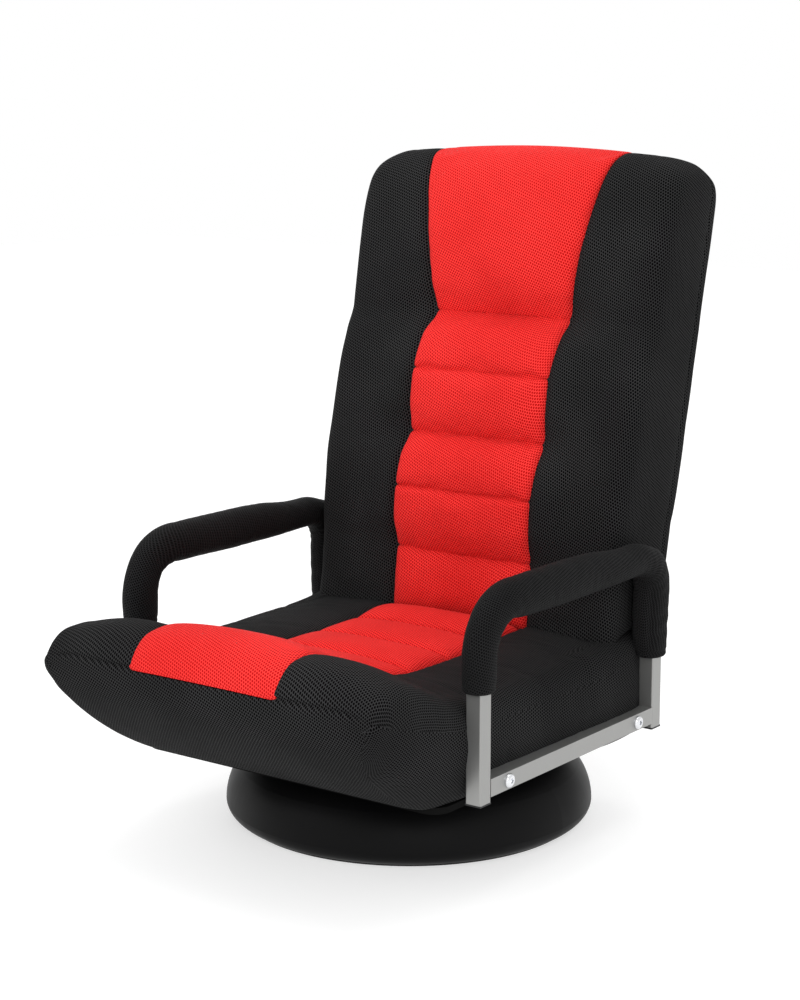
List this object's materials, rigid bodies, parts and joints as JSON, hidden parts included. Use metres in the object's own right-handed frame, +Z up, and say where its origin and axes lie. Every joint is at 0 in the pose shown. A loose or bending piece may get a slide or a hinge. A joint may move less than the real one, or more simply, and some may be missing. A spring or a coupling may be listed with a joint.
{
  "type": "floor gaming chair",
  "caption": "Legless padded floor chair on a round swivel base, with a ratchet reclining back, raised front lip and square-tube armrests in padded sleeves.",
  "frame": {"origin": "on the floor under the swivel axis, at the centre of the round base", "axes": "+Z up, -Y the way the sitter faces, +X to the sitter's left"},
  "size_m": [0.534, 0.6983, 0.7923],
  "materials": {
    "base_plastic": "satin black moulded plastic",
    "rubber": "matt black",
    "black_mesh": "black spacer mesh over foam",
    "sleeve_mesh": "black spacer mesh sleeve",
    "red_mesh": "bright red spacer mesh over foam",
    "board": "cloth-covered hardboard, black",
    "grey_paint": "satin silver-grey",
    "black_paint": "satin black",
    "zinc": "bright zinc",
    "steel": "plain steel",
    "plug_plastic": "black plastic"
  },
  "bodies": {
    "base": {"base_shell": "base_plastic", "floor_ring": "rubber", "base_screws": "steel", "swivel_lower_plate": "steel", "swivel_rivet": "steel", "ball_cage": "plug_plastic", "bearing_balls": "steel"},
    "seat": {"swivel_upper_plate": "steel", "swivel_bolts": "steel", "swivel_nuts": "steel", "front_mount_bar": "black_paint", "rear_mount_bar": "black_paint", "seat_frame": "black_paint", "seat_bottom_board": "board", "seat_pad": "black_mesh", "seat_centre_panel": "red_mesh", "post_end_plugs": "plug_plastic", "left_armrest_frame": "grey_paint", "left_armrest_sleeve": "sleeve_mesh", "left_armrest_bolts": "zinc", "left_hinge_plate": "steel", "left_hinge_pin": "steel", "left_pawl_pin": "steel", "left_pawl_spring": "steel", "right_armrest_frame": "grey_paint", "right_armrest_sleeve": "sleeve_mesh", "right_armrest_bolts": "zinc", "right_hinge_plate": "steel", "right_hinge_pin": "steel", "right_pawl_pin": "steel", "right_pawl_spring": "steel"},
    "back": {"back_frame": "black_paint", "back_pad": "black_mesh", "back_centre_panel": "red_mesh", "head_panel": "red_mesh", "back_rear_panel": "black_mesh", "left_hinge_arm": "steel", "right_hinge_arm": "steel"},
    "left_pawl": {"left_pawl": "steel"},
    "right_pawl": {"right_pawl": "steel"}
  },
  "joints": [
    {"name": "swivel", "type": "hinge", "parent": "base", "child": "seat", "pos_m": [0, 0, 0.092], "axis": [0, 0, 1], "continuous": true},
    {"name": "recline", "type": "hinge", "parent": "seat", "child": "back", "pos_m": [0, 0.146, 0.158], "axis": [-1, 0, 0], "range_deg": [0, 77.5]},
    {"name": "left_pawl_turn", "type": "hinge", "parent": "seat", "child": "left_pawl", "pos_m": [0.1988, 0.106, 0.158], "axis": [1, 0, 0], "range_deg": [0, 15]},
    {"name": "right_pawl_turn", "type": "hinge", "parent": "seat", "child": "right_pawl", "pos_m": [-0.1988, 0.106, 0.158], "axis": [1, 0, 0], "range_deg": [0, 15]}
  ],
  "couplings": [
    {"joint": "right_pawl_turn", "follows": "left_pawl_turn", "ratio": 1}
  ]
}
